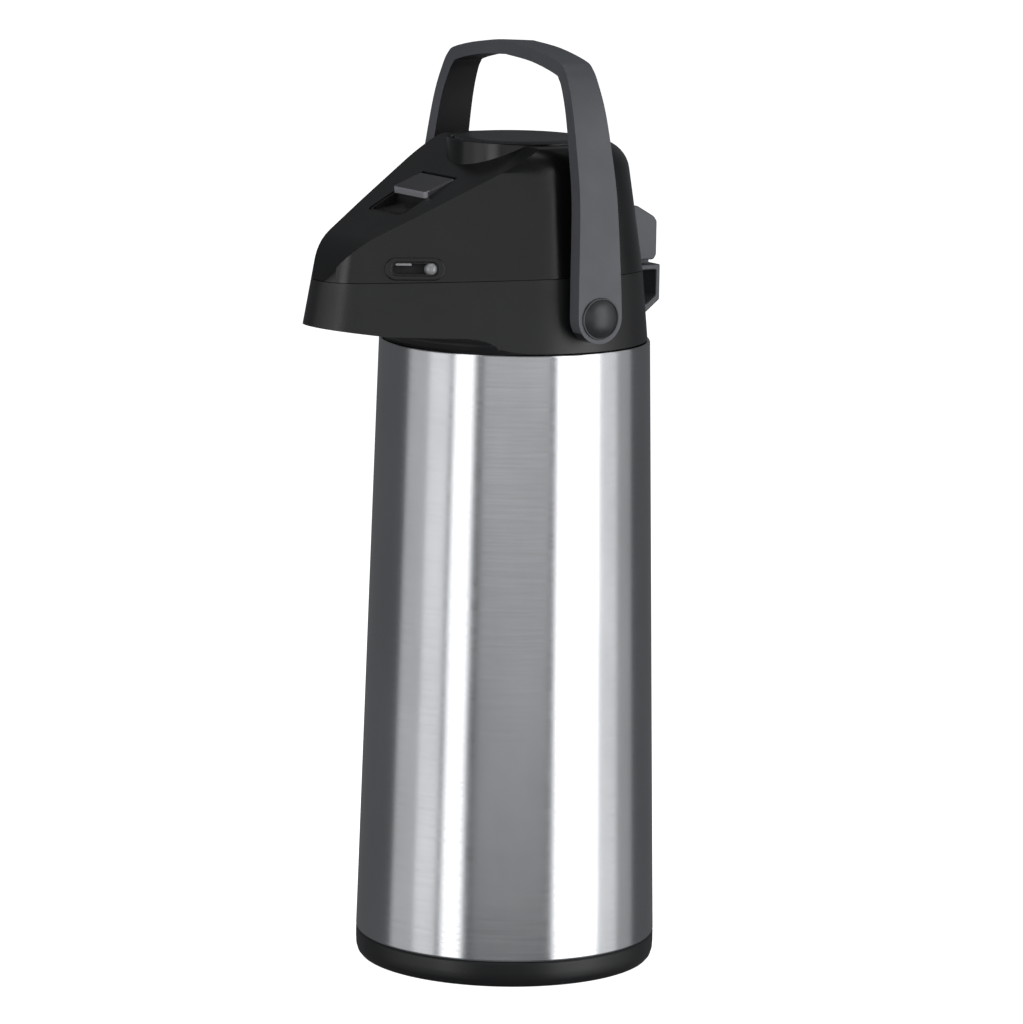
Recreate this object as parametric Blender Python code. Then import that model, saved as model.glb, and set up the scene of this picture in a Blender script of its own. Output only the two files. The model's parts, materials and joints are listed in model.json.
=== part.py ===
"""Thermal coffee airpot: tapered steel body on a black base ring, glass vacuum liner, collar with a beak-shaped
spout, wedge-shaped pump lid that opens on a rear hinge, round push plate, release lever, lock slider and bail
handle. Millimetre values below are multiplied by MM. The body axis is Z, the beak points to -Y, and the
handle pivots lie on X."""

import math

import bmesh
import bpy
from mathutils import Matrix, Vector

MM = 0.001
GAP = 0.3

# Body
BASE_R, BASE_H = 75.0, 13.2
SHELL_BOTTOM, SHELL_TOP = 13.5, 313.3
SHELL_TOP_R, SHELL_WALL = 67.3, 0.8
LINER_R, LINER_GLASS, LINER_VACUUM = 64.0, 1.8, 3.2
LINER_BOTTOM, LINER_SHOULDER, LINER_LIP = 24.0, 250.0, 318.0
LINER_BOWL, LINER_NECK_R = 26.0, 29.0
MOUTH_R = 20.5

# Collar and lid
COLLAR_BOTTOM, SEAM, SEAM_ARCH = 313.6, 347.6, 2.8
FOOT_R, SEAM_R, LID_DRAFT = 66.0, 63.2, 0.157
TIP_R, TIP_REACH, TIP_DRAFT = 24.0, 112.9, 0.19
BEAK_RISE, BEAK_TIP_RISE = 8.0, 3.0
WALL = 2.5
LID_SHOULDER, LID_TOP = 403.0, 412.0
SLOPE_Y, SLOPE_Z, SLOPE = -25.0, 406.8, 0.5407
BOSS_R, BOSS_TOP, WELL_R, WELL_BOTTOM = 35.2, 413.0, 32.6, 384.0
LID_BASE_Z, LID_BASE_T = 348.6, 2.4
DECK_Z, DECK_T, DECK_R = 336.5, 2.5, 60.5
LID_SCREWS = ((41.5, -19.0), (35.0, 30.0), (-35.0, 30.0), (-41.5, -19.0))
RIM_POINTS = 52

# Pump
PLATE_R, PLATE_TOP = 31.9, 413.6
BELLOWS_R, BELLOWS_FOLDS, BELLOWS_BOTTOM, BELLOWS_TOP = 27.0, 5, 355.3, 401.0
SPOUT_Y, SPOUT_Z = -97.0, 331.8

# Rear hinge, release lever, handle
HINGE_Y, HINGE_Z, HINGE_HALF = 71.5, 353.2, 10.0
LEVER_Y, LEVER_Z = -47.0, 389.4
PIVOT_Z, PIVOT_X, ARM_T = 332.1, 78.0, 8.0
LOCK_Z, LOCK_ALONG = 355.0, 0.30

PLASTIC = ("black_plastic", (0.012, 0.013, 0.014), 0.38, 0.0)
GLOSS = ("gloss_black", (0.006, 0.007, 0.008), 0.16, 0.0)
SATIN = ("satin_grey_plastic", (0.06, 0.065, 0.07), 0.45, 0.0)
STEEL = ("brushed_steel", (0.62, 0.63, 0.64), 0.28, 1.0)
SPRING = ("spring_steel", (0.55, 0.55, 0.56), 0.3, 1.0)
GLASS = ("silvered_glass", (0.75, 0.78, 0.8), 0.05, 0.6)
RUBBER = ("silicone", (0.55, 0.55, 0.52), 0.6, 0.0)
CLEAR = ("white_plastic", (0.7, 0.7, 0.68), 0.4, 0.0)


def clear_scene():
    for obj in list(bpy.data.objects):
        bpy.data.objects.remove(obj, do_unlink=True)


def material(finish):
    name, colour, roughness, metallic = finish
    mat = bpy.data.materials.get(name)
    if mat is None:
        mat = bpy.data.materials.new(name)
        mat.use_nodes = True
        shader = mat.node_tree.nodes["Principled BSDF"]
        shader.inputs["Base Color"].default_value = (*colour, 1.0)
        shader.inputs["Roughness"].default_value = roughness
        shader.inputs["Metallic"].default_value = metallic
    return mat


def add_object(name, mesh, finish, origin=(0, 0, 0)):
    """Links a mesh in millimetres, with its origin moved to the given point."""
    if finish:
        mesh.materials.append(material(finish))
    mesh.transform(Matrix.Translation(-Vector(origin)))
    mesh.transform(Matrix.Scale(MM, 4))
    obj = bpy.data.objects.new(name, mesh)
    obj.location = Vector(origin) * MM
    bpy.context.scene.collection.objects.link(obj)
    mesh.shade_smooth()
    mesh.set_sharp_from_angle(angle=math.radians(35))
    return obj


def from_bmesh(name, bm, finish, origin=(0, 0, 0)):
    if bm.calc_volume(signed=True) < 0:
        bmesh.ops.reverse_faces(bm, faces=bm.faces)
    mesh = bpy.data.meshes.new(name)
    bm.to_mesh(mesh)
    bm.free()
    return add_object(name, mesh, finish, origin)


def bridge(bm, first, second):
    """Quads, or triangles at a pole, between two rings of vertices."""
    n = max(len(first), len(second))
    for i in range(n):
        j = (i + 1) % n
        if len(first) == 1:
            bm.faces.new((first[0], second[j], second[i]))
        elif len(second) == 1:
            bm.faces.new((first[i], first[j], second[0]))
        else:
            bm.faces.new((first[i], first[j], second[j], second[i]))


def ring_body(name, rings, finish, closed=False, origin=(0, 0, 0), matrix=None):
    """A skin over rings of points: closed joins the last ring to the first, otherwise both ends get caps."""
    bm = bmesh.new()
    loops = [[bm.verts.new(p) for p in ring] for ring in rings]
    for first, second in zip(loops, loops[1:]):
        bridge(bm, first, second)
    if closed:
        bridge(bm, loops[-1], loops[0])
    else:
        for loop in (loops[0][::-1], loops[-1]):
            if len(loop) > 2:
                bm.faces.new(loop)
    if matrix:
        bm.transform(matrix)
    return from_bmesh(name, bm, finish, origin)


def circle(r, z, n, centre=(0.0, 0.0)):
    """Points of a level circle, starting at -Y; a zero radius gives the one pole point."""
    if r == 0:
        return [Vector((centre[0], centre[1], z))]
    turn = [-math.pi / 2 + math.tau * i / n for i in range(n)]
    return [Vector((centre[0] + r * math.cos(a), centre[1] + r * math.sin(a), z)) for a in turn]


def lathe(name, profile, finish, segments=32, centre=(0.0, 0.0), origin=None, matrix=None):
    """Turns a profile of (radius, z). It runs from pole to pole, or is a closed loop clear of the axis."""
    rings = [circle(r, z, segments, centre) for r, z in profile]
    loop = all(r > 0 for r, _ in profile)
    return ring_body(name, rings, finish, closed=loop, origin=origin or (*centre, 0.0), matrix=matrix)


def washer(name, r_in, r_out, low, high, finish, segments=32, centre=(0.0, 0.0), matrix=None):
    profile = [(r_out, high), (r_out, low), (r_in, low), (r_in, high)]
    return lathe(name, profile, finish, segments, centre, matrix=matrix)


def extrude_x(name, outline, half, finish, centre_x=0.0, origin=(0, 0, 0)):
    """A solid of constant outline in Y and Z."""
    rings = [[Vector((centre_x + s * half, y, z)) for y, z in outline] for s in (-1, 1)]
    return ring_body(name, rings, finish, origin=origin)


def cut(obj, cutter, operation="DIFFERENCE"):
    modifier = obj.modifiers.new(cutter.name, "BOOLEAN")
    modifier.operation = operation
    modifier.solver = "EXACT"
    modifier.object = cutter
    cutter.hide_render = True
    cutter.display_type = "WIRE"


def bar(name, r, start, end, finish=None, segments=16):
    """A plain round bar between two points; without a finish it is a cutter."""
    start, end = Vector(start), Vector(end)
    turn = (end - start).to_track_quat("Z", "Y").to_matrix().to_4x4()
    rings = [circle(r, z, segments) for z in (0.0, (end - start).length)]
    return ring_body(name, rings, finish, matrix=Matrix.Translation(start) @ turn)


def tube_along(name, path, r_out, r_in, finish, segments=12):
    """A hollow tube through the points of a path in the plane x = 0, or any smooth path."""
    rings = {r_out: [], r_in: []}
    for i, point in enumerate(path):
        ahead = path[min(i + 1, len(path) - 1)] - path[max(i - 1, 0)]
        turn = ahead.to_track_quat("Z", "Y").to_matrix().to_4x4()
        for r, found in rings.items():
            found.append([Matrix.Translation(point) @ turn @ p for p in circle(r, 0, segments)])
    return ring_body(name, rings[r_out] + rings[r_in][::-1], finish, closed=True)


def coil(name, r, wire, low, high, turns, finish, steps=12, matrix=None):
    """A helical spring about Z, with flat round ends."""
    bm = bmesh.new()
    loops = []
    count = int(turns * steps)
    for i in range(count + 1):
        a = math.tau * i / steps
        centre = Vector((r * math.cos(a), r * math.sin(a), low + (high - low) * i / count))
        out = Vector((math.cos(a), math.sin(a), 0))
        spokes = [math.tau * k / 5 for k in range(5)]
        loops.append(
            [bm.verts.new(centre + wire * (out * math.cos(s) + Vector((0, 0, math.sin(s))))) for s in spokes]
        )
    for first, second in zip(loops, loops[1:]):
        bridge(bm, first, second)
    bm.faces.new(loops[0][::-1])
    bm.faces.new(loops[-1])
    if matrix:
        bm.transform(matrix)
    return from_bmesh(name, bm, finish)


# --- The wedge outline that the collar and the lid share ---


def smooth(t):
    t = min(max(t, 0.0), 1.0)
    return t * t * (3 - 2 * t)


def outline(z, inset=0.0):
    """The plan outline at a height: the hull of the round body and the rounded beak tip, from -Y towards +X."""
    body_r = (FOOT_R - (z - COLLAR_BOTTOM) * (FOOT_R - SEAM_R) / (SEAM - COLLAR_BOTTOM)) if z < SEAM else (
        SEAM_R - LID_DRAFT * (z - SEAM)
    )
    tip_r = TIP_R - 0.08 * (z - SEAM)
    centre = TIP_REACH - tip_r - TIP_DRAFT * (z - SEAM)
    lean = math.asin((body_r - tip_r) / centre)
    body_r, tip_r = body_r - inset, tip_r - inset
    tip_steps, flank_steps = 6, 7
    back_steps = RIM_POINTS // 2 - tip_steps - flank_steps
    half = []
    for i in range(tip_steps):
        a = (math.pi / 2 - lean) * i / tip_steps
        half.append((tip_r * math.sin(a), -centre - tip_r * math.cos(a)))
    c, s = math.cos(lean), math.sin(lean)
    start, end = (tip_r * c, -centre - tip_r * s), (body_r * c, -body_r * s)
    for i in range(flank_steps):
        t = i / flank_steps
        half.append((start[0] + t * (end[0] - start[0]), start[1] + t * (end[1] - start[1])))
    for i in range(back_steps + 1):
        a = -lean + (math.pi / 2 + lean) * i / back_steps
        half.append((body_r * math.cos(a), body_r * math.sin(a)))
    return half + [(-x, y) for x, y in half[-2:0:-1]]


def seam_z(x):
    """The parting line between collar and lid rises a little at the sides."""
    return SEAM + SEAM_ARCH * (x / SEAM_R) ** 2


def slope_z(y):
    return SLOPE_Z + SLOPE * (y - SLOPE_Y)


def lid_height(y):
    return min(LID_TOP, slope_z(y))


def onto_circle(points, r):
    """The points moved out or in to a circle about the body axis."""
    return [(x * r / math.hypot(x, y), y * r / math.hypot(x, y)) for x, y in points]


def crease(i, inset, drop):
    """Height where the side wall at outline point i meets the sloping front, or the rounded shoulder."""
    low, high = SEAM, LID_SHOULDER - drop
    for _ in range(30):
        mid = (low + high) / 2
        if mid < slope_z(outline(mid, inset)[i][1]) - drop:
            low = mid
        else:
            high = mid
    return low


def lid_skin(inset, drop):
    """Rings of the lid's skin from its lower edge up and in to the well: the outside, or the inside."""
    lower = outline(SEAM, inset)
    rings = [[Vector((x, y, seam_z(x) + GAP)) for x, y in lower]]
    tops = [crease(i, inset, drop) for i in range(RIM_POINTS)]
    for t in (0.5, 1.0):
        ring = []
        for i, top in enumerate(tops):
            z = rings[0][i].z + t * (top - rings[0][i].z)
            x, y = outline(z, inset)[i]
            ring.append(Vector((x, y, z)))
        rings.append(ring)
    for more, rise in ((1.3, 3.8), (3.6, 7.4), (9.0, 9.0)):
        edge = outline(LID_SHOULDER, inset + more)
        rings.append([Vector((x, y, min(LID_SHOULDER + rise, slope_z(y)) - drop)) for x, y in edge])
    foot = onto_circle(edge, BOSS_R + 0.8 if not inset else WELL_R + 1.8)
    for t in (0.5, 1.0):
        flat = [(a[0] + t * (b[0] - a[0]), a[1] + t * (b[1] - a[1])) for a, b in zip(edge, foot)]
        rings.append([Vector((x, y, lid_height(y) - drop)) for x, y in flat])
    return rings


def level(points, z):
    return [Vector((x, y, z)) for x, y in points]


# --- Body ---


def make_base():
    ring = [(71.0, 0.0), (73.6, 1.2), (74.8, 4.0), (BASE_R, 8.0), (BASE_R, BASE_H), (64.5, BASE_H), (64.5, 6.0),
            (62.0, 6.0), (62.0, 0.0)]
    lathe("base_ring", ring, PLASTIC, 48)
    plate = [(0.0, 5.0), (61.7, 5.0), (61.7, 0.0), (52.0, 0.0), (51.0, 1.5), (46.0, 1.5), (45.0, 0.0), (0.0, 0.0)]
    lathe("base_plate", plate, PLASTIC, 32)
    cushion = [(44.0, 30.0), (44.0, 5.3), (16.0, 5.3), (16.0, 23.7), (30.0, 26.0)]
    lathe("liner_cushion", cushion, RUBBER, 28)


def make_shell():
    t = SHELL_WALL
    profile = [(SHELL_TOP_R - 1.6, SHELL_TOP), (SHELL_TOP_R - 0.4, SHELL_TOP), (SHELL_TOP_R, SHELL_TOP - 1.0),
               (BASE_R, SHELL_BOTTOM + 1.0), (BASE_R - 0.5, SHELL_BOTTOM), (68.0, SHELL_BOTTOM),
               (68.0, SHELL_BOTTOM + t), (BASE_R - t, SHELL_BOTTOM + t + 0.6),
               (SHELL_TOP_R - t, SHELL_TOP - 1.6), (SHELL_TOP_R - 1.6, SHELL_TOP - t)]
    lathe("outer_shell", profile, STEEL, 60)


def bulb(offset, z_shift):
    """One surface of the liner's bulb from the bottom pole side up to the neck."""
    r, neck = LINER_R - offset, LINER_NECK_R - min(offset, LINER_GLASS + 1.2)
    points = []
    for i in range(1, 5):
        a = math.pi / 2 * i / 4
        points.append((r * math.sin(a), LINER_BOTTOM + z_shift + LINER_BOWL * (1 - math.cos(a))))
    points.append((r, LINER_SHOULDER - z_shift))
    for i in (1, 2, 3):
        a = math.pi / 2 * i / 3
        points.append((neck + (r - neck) * math.cos(a), LINER_SHOULDER - z_shift + 32.0 * math.sin(a)))
    return points


def make_liner():
    inner_at = LINER_GLASS + LINER_VACUUM
    inside = bulb(inner_at + LINER_GLASS, inner_at + LINER_GLASS)
    inner_out = bulb(inner_at, inner_at)
    outer_in = bulb(LINER_GLASS, LINER_GLASS)
    outside = bulb(0.0, 0.0)
    inside[-1], inner_out[-1] = (25.2, inside[-1][1]), (26.4, inner_out[-1][1])
    lip = [(25.2, LINER_LIP - 1.0), (27.0, LINER_LIP), (LINER_NECK_R, LINER_LIP - 1.0)]
    vacuum_top = [(27.8, LINER_LIP - 4.0), (26.4, LINER_LIP - 4.0)]
    outer_in[-1] = (27.8, outer_in[-1][1])
    profile = [(0.0, LINER_BOTTOM + inner_at + LINER_GLASS), *inside, *lip, *outside[::-1],
               (2.5, LINER_BOTTOM), (2.5, LINER_BOTTOM + LINER_GLASS), *outer_in, *vacuum_top,
               *inner_out[::-1], (0.0, LINER_BOTTOM + inner_at)]
    lathe("glass_liner", profile, GLASS, 22)


def make_mouth():
    washer("neck_gasket", 24.0, 31.0, LINER_LIP + GAP, 321.0, RUBBER)
    ring = washer("mouth_ring", MOUTH_R, 31.5, 321.3, DECK_Z - GAP, CLEAR)
    notch = [(-40.0, SPOUT_Z - 4.6), (-15.0, SPOUT_Z - 4.6), (-15.0, DECK_Z + 2.0), (-40.0, DECK_Z + 2.0)]
    cut(ring, extrude_x("tube_notch", notch, 4.6, None))
    washer("neck_ring", 36.0, 65.0, 304.5, SHELL_TOP - GAP - 0.8, PLASTIC, 32)
    washer("inner_deck", MOUTH_R, DECK_R, DECK_Z, DECK_Z + DECK_T, PLASTIC, 32)
    washer("head_gasket", 18.5, 26.0, DECK_Z + DECK_T + GAP, 340.7, RUBBER, 28)


def make_siphon():
    head = [(0.0, 343.6), (27.0, 343.6), (27.0, 341.0), (18.0, 341.0), (18.0, 323.5), (4.3, 323.5), (4.3, 327.0),
            (5.6, 328.5), (5.6, 339.5), (0.0, 339.5)]
    body = lathe("siphon_head", head, CLEAR, 28)
    cut(body, bar("head_outlet", 4.0, (0, 0, SPOUT_Z), (0, -22, SPOUT_Z), segments=12))
    ball = [(4.3 * math.sin(math.pi * i / 6), 332.6 + 4.3 * math.cos(math.pi * i / 6)) for i in range(7)]
    ball[0], ball[-1] = (0.0, ball[0][1]), (0.0, ball[-1][1])
    lathe("anti_spill_ball", ball, SPRING, 12)
    washer("dip_tube", 2.8, 4.0, 38.0, 326.4, STEEL, 12)
    washer("dip_tube_foot", 4.3, 6.0, 37.0, 50.0, CLEAR, 12)
    path = [Vector((0, y, SPOUT_Z)) for y in (-18.4, -40.0, -65.0, SPOUT_Y + 7.9)]
    tube_along("spout_tube", path, 4.0, 3.1, CLEAR)
    nozzle = [(0.0, 338.0), (7.5, 338.0), (7.5, 323.4), (5.0, 323.4), (5.0, 336.0), (0.0, 336.0)]
    spout = lathe("spout_nozzle", nozzle, PLASTIC, 16, centre=(0.0, SPOUT_Y))
    cut(spout, bar("nozzle_inlet", 3.2, (0, SPOUT_Y, SPOUT_Z), (0, SPOUT_Y + 12, SPOUT_Z), segments=12))


def make_collar():
    """Wall and floor of the collar. Under the beak the floor steps up from the round foot to the beak's underside."""
    edge = []
    for i in range(RIM_POINTS):
        x, y = outline(COLLAR_BOTTOM + 1.0)[i]
        beyond = math.hypot(x, y) - FOOT_R
        rise = BEAK_RISE * smooth((beyond - 4.0) / 12.0) + BEAK_TIP_RISE * max(beyond, 0.0) / 51.0
        edge.append(COLLAR_BOTTOM + 1.0 + rise)
    low = [outline(z)[i] for i, z in enumerate(edge)]
    inner = [outline(z + 3.0, WALL)[i] for i, z in enumerate(edge)]
    foot = onto_circle(low, FOOT_R - 0.3)
    foot_z = [COLLAR_BOTTOM + 0.6 + 0.55 * (z - COLLAR_BOTTOM - 1.0) for z in edge]
    floor = onto_circle(low, FOOT_R - 4.0)
    top, top_in = outline(SEAM), outline(SEAM, WALL)
    half_up = [(z + SEAM) / 2 for z in edge]
    middle = [outline(z)[i] for i, z in enumerate(half_up)]
    rings = [
        level(onto_circle(low, FOOT_R - 1.2), COLLAR_BOTTOM),
        [Vector((*p, z)) for p, z in zip(foot, foot_z)],
        [Vector((*p, z)) for p, z in zip(low, edge)],
        [Vector((*p, z)) for p, z in zip(middle, half_up)],
        [Vector((x, y, seam_z(x) - GAP)) for x, y in top],
        [Vector((x, y, seam_z(x) - GAP)) for x, y in top_in],
        [Vector((*p, z + 3.0)) for p, z in zip(inner, edge)],
        [Vector((*p, z + 2.6)) for p, z in zip(floor, foot_z)],
        level(onto_circle(low, FOOT_R - 8.0), COLLAR_BOTTOM + 3.0),
        level(onto_circle(low, 34.0), COLLAR_BOTTOM + 3.0),
        level(onto_circle(low, 34.0), COLLAR_BOTTOM),
    ]
    collar = ring_body("collar", rings, PLASTIC, closed=True)
    cut(collar, bar("spout_hole", 7.9, (0, SPOUT_Y, 315), (0, SPOUT_Y, 330), segments=20))
    cut(collar, bar("pivot_holes", 3.3, (-70, 0, PIVOT_Z), (70, 0, PIVOT_Z)))
    ring = bpy.data.objects["neck_ring"]
    for k in range(3):
        a = math.radians(30 + 120 * k)
        x, y = 50 * math.cos(a), 50 * math.sin(a)
        hole = bar(f"collar_screw_hole_{k + 1}", 2.1, (x, y, 300), (x, y, 320), segments=10)
        cut(collar, hole)
        cut(ring, hole)
        screw(f"collar_screw_{k + 1}", (x, y, COLLAR_BOTTOM + 3.0 + GAP), (0, 0, -1), 1.7, 12.0)


def screw(name, seat, direction, r, length):
    """A pan-head screw whose head rests on the seat point; its shank runs along the direction."""
    profile = [(0.0, -2.2), (2.4, -1.6), (3.4, 0.0), (r, 0.0), (r, length - 1.5), (0.0, length)]
    turn = Vector(direction).to_track_quat("Z", "Y").to_matrix().to_4x4()
    lathe(name, profile, SPRING, 10, matrix=Matrix.Translation(Vector(seat)) @ turn)


def make_catch():
    shape = [(-48.0, 339.3), (-48.0, 347.0), (-56.0, 347.0), (-56.0, 344.2), (-51.0, 344.2), (-51.0, 339.3)]
    extrude_x("latch_catch", shape, 6.0, PLASTIC)


# --- Rear hinge ---


def make_hinge():
    y, z = HINGE_Y, HINGE_Z
    frame_out = [(66.6, 320.4), (71.8, 323.4), (79.2, 329.2), (79.2, 347.0), (66.6, 347.0)]
    bracket = extrude_x("hinge_bracket", frame_out, HINGE_HALF, PLASTIC, origin=(0, y, z))
    window = [(68.6, 327.0), (71.4, 327.2), (76.7, 331.4), (76.7, 344.3), (68.6, 344.3)]
    cut(bracket, extrude_x("bracket_window", window, HINGE_HALF + 3, None))
    tongue = extrude_x("bracket_tongue", [(y - 4.5, 345.5), (y + 4.5, 345.5), (y + 4.5, z), (y + 3.2, z + 3.2),
                                          (y, z + 4.5), (y - 3.2, z + 3.2), (y - 4.5, z)], 4.0, None)
    cut(bracket, tongue, "UNION")
    pin_hole = bar("hinge_pin_hole", 1.9, (-14, y, z), (14, y, z), segments=12)
    cut(bracket, pin_hole)
    lug_shape = [(63.3, 349.4), (75.4, 349.4), (76.9, 351.8), (76.9, 368.8), (75.2, 371.2), (65.0, 377.0), (58.9, 377.0)]
    lug = extrude_x("hinge_lug", lug_shape, HINGE_HALF, SATIN, origin=(0, y, z))
    slot = [(82.0, 345.0), (82.0, 360.2), (66.2, 360.2), (64.6, 345.0)]
    cut(lug, extrude_x("lug_slot", slot, 4.6, None))
    cut(lug, pin_hole)
    bar("hinge_pin", 1.5, (-9.6, y, z), (9.6, y, z), STEEL, 12)


# --- Lid ---


def make_lid():
    outside = lid_skin(0.0, 0.0)
    inside = lid_skin(WALL, 2.8)
    edge = outline(LID_SHOULDER)
    well = [
        level(onto_circle(edge, BOSS_R), BOSS_TOP),
        level(onto_circle(edge, WELL_R), BOSS_TOP),
        level(onto_circle(edge, WELL_R), WELL_BOTTOM),
        level(onto_circle(edge, WELL_R + 1.8), WELL_BOTTOM),
    ]
    shell = ring_body("lid_shell", outside + well + inside[::-1], GLOSS, closed=True,
                      origin=(0, HINGE_Y, HINGE_Z))
    rim = outline(LID_BASE_Z + LID_BASE_T, WALL + 0.7)
    hole = onto_circle(rim, 24.4)
    low, high = LID_BASE_Z, LID_BASE_Z + LID_BASE_T
    base = ring_body("lid_base", [level(rim, low), level(rim, high), level(hole, high), level(hole, low)],
                     PLASTIC, closed=True)
    cut(base, extrude_x("lever_passage", [(-76, 340), (-50, 340), (-50, 360), (-76, 360)], 6.0, None))
    for k, (x, y) in enumerate(LID_SCREWS):
        top = min(lid_height(y) - 1.3, LID_TOP - 2.4)
        post = bar(f"screw_post_{k + 1}", 3.6, (x, y, high + GAP), (x, y, top), segments=10)
        cut(shell, post, "UNION")
        bore = bar(f"lid_screw_hole_{k + 1}", 2.0, (x, y, low - 9), (x, y, high + 13), segments=8)
        cut(shell, bore)
        cut(base, bore)
        screw(f"lid_screw_{k + 1}", (x, y, low - GAP), (0, 0, 1), 1.6, 12.0)
    return shell


def make_finger_cup(shell):
    """The dark recess under the release lever's lip, as a tray set in the lid's sloping front."""
    opening = [(-76.5, 360.0), (-44.2, 360.0), (-44.2, 420.0), (-76.5, 420.0)]
    cut(shell, extrude_x("lever_opening", opening, 16.3, None))

    def below(y, depth):
        return slope_z(y) - depth

    front, back, wall = -76.1, -58.6, 1.4
    tray = [(front, below(front, 0.6)), (front, below(front, 5.6)), (back - 2, below(back, 9.6)),
            (back, below(back, 5.6)), (back - wall, below(back, 5.2)), (back - 2.8, below(back, 8.0)),
            (front + wall, below(front, 3.6)), (front + wall, below(front, 0.6))]
    extrude_x("finger_cup", tray, 15.9, PLASTIC)


def make_lever():
    """Thumb tab with its lip, pivot lugs and the hook that reaches down to the catch."""
    lip, tail = -62.0, -45.8
    tab = [(lip, slope_z(lip) + 2.2), (lip, slope_z(lip) - 0.6), (lip + 4, slope_z(lip + 4) - 1.4),
           (tail, slope_z(tail) - 2.2), (tail, slope_z(tail) + 0.2), (-50.0, slope_z(-50.0) + 1.2)]
    lever = extrude_x("release_lever", tab, 15.8, GLOSS, origin=(0, LEVER_Y, LEVER_Z))
    hook = [(-50.5, 391.5), (-53.8, 388.0), (-60.6, 344.0), (-60.6, 340.6), (-53.0, 340.6), (-53.0, 343.4),
            (-57.8, 343.8), (-51.2, 385.0), (-44.9, 385.4), (-44.9, 391.5)]
    cut(lever, extrude_x("lever_hook", hook, 4.0, None), "UNION")
    cut(lever, bar("lever_bore", 1.7, (-8, LEVER_Y, LEVER_Z), (8, LEVER_Y, LEVER_Z), segments=10))
    bar("lever_pin", 1.3, (-12, LEVER_Y, LEVER_Z), (12, LEVER_Y, LEVER_Z), STEEL, 10)
    turn = Matrix.Translation((0, LEVER_Y, LEVER_Z)) @ Matrix.Rotation(math.pi / 2, 4, "Y")
    coil("lever_spring", 2.3, 0.45, 5.0, 10.0, 3, SPRING, steps=7, matrix=turn)


def flank_frame(along, z):
    """Local frame on the right flank: X runs forward along it, Y points up the wall, Z points outwards."""
    def flank_point(t, height):
        points = outline(height)
        a, b = Vector((*points[6], height)), Vector((*points[13], height))
        return a + t * (b - a)

    at = flank_point(along, z)
    forward = (flank_point(0, z) - at).normalized()
    up = (flank_point(along, z + 4) - at)
    up = (up - up.dot(forward) * forward).normalized()
    out = forward.cross(up)
    if out.x < 0:
        out = -out
    return Matrix((
        (forward.x, up.x, out.x, at.x), (forward.y, up.y, out.y, at.y), (forward.z, up.z, out.z, at.z),
        (0, 0, 0, 1),
    ))


def stadium(length, width, z, steps=6):
    """A slot shape with round ends, lying level."""
    r, half = width / 2, (length - width) / 2
    points = []
    for side in (1, -1):
        for i in range(steps + 1):
            a = -math.pi / 2 + math.pi * i / steps
            points.append(Vector((side * (half + r * math.cos(a)), side * r * math.sin(a), z)))
    return points


def make_lock(shell):
    frame = flank_frame(LOCK_ALONG, LOCK_Z)
    slot = ring_body("lock_slot", [stadium(21.5, 5.2, -6), stadium(21.5, 5.2, 5)], None, matrix=frame)
    cut(shell, slot)
    rings = [stadium(29, 11, 0.3), stadium(28, 10, 1.5), stadium(23, 6.6, 1.5), stadium(22.6, 6.2, 0.3)]
    ring_body("lock_bezel", rings, GLOSS, closed=True, matrix=frame)
    knob = [(0.0, 2.6), (2.2, 2.3), (2.9, 1.4), (2.9, 0.5), (1.5, 0.5), (1.5, -3.0), (3.0, -3.0), (3.0, -4.0),
            (0.0, -4.0)]
    lathe("lock_slider", knob, SATIN, 16, matrix=frame @ Matrix.Translation((-7.8, 0, 0)))


# --- Pump ---


def make_pump():
    base = [(29.0, 351.4), (29.0, 355.0), (15.0, 355.0), (15.0, 351.2), (3.2, 351.2), (3.2, 349.4), (15.0, 349.4),
            (15.0, 345.8), (23.9, 345.8), (23.9, 351.4)]
    lathe("pump_base", base, PLASTIC, 28)
    valve = [(0.0, 353.4), (4.4, 352.4), (4.4, 351.5), (2.6, 351.5), (2.6, 349.1), (11.0, 349.1), (11.0, 348.0),
             (0.0, 348.0)]
    lathe("air_valve", valve, RUBBER, 16)
    washer("lid_gasket", 15.4, 23.0, 343.9, 345.5, RUBBER, 28)
    outer, inner = [], []
    folds = 2 * BELLOWS_FOLDS
    for i in range(folds + 1):
        z = BELLOWS_TOP - 1.2 - (BELLOWS_TOP - 2.4 - BELLOWS_BOTTOM) * i / folds
        r = BELLOWS_R - (5.0 if i % 2 == 0 else 0.0)
        outer.append((r, z))
        inner.append((r - 1.4, z - (0.2 if i < folds else 0.0)))
    profile = [(0.0, BELLOWS_TOP), (20.0, BELLOWS_TOP), *outer, (22.0, BELLOWS_BOTTOM), (20.6, BELLOWS_BOTTOM),
               *inner[::-1], (18.0, BELLOWS_TOP - 2.0), (0.0, BELLOWS_TOP - 2.0)]
    lathe("bellows", profile, RUBBER, 16)
    coil("return_spring", 11.5, 1.0, BELLOWS_BOTTOM + 1.6, BELLOWS_TOP - 3.6, 6, SPRING, steps=10)
    plate = [(0.0, PLATE_TOP), (26.0, PLATE_TOP - 0.1), (31.2, PLATE_TOP - 0.8), (PLATE_R, PLATE_TOP - 1.8),
             (PLATE_R, 406.5), (PLATE_R - 1.8, 406.5), (PLATE_R - 1.8, 410.8), (9.0, 410.8), (9.0, 404.2),
             (0.0, 404.2)]
    lathe("push_plate", plate, SATIN, 32)
    stem = [(0.0, 403.9), (13.0, 403.9), (13.0, 401.3), (0.0, 401.3)]
    lathe("plate_follower", stem, CLEAR, 20)


# --- Bail handle ---

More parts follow.
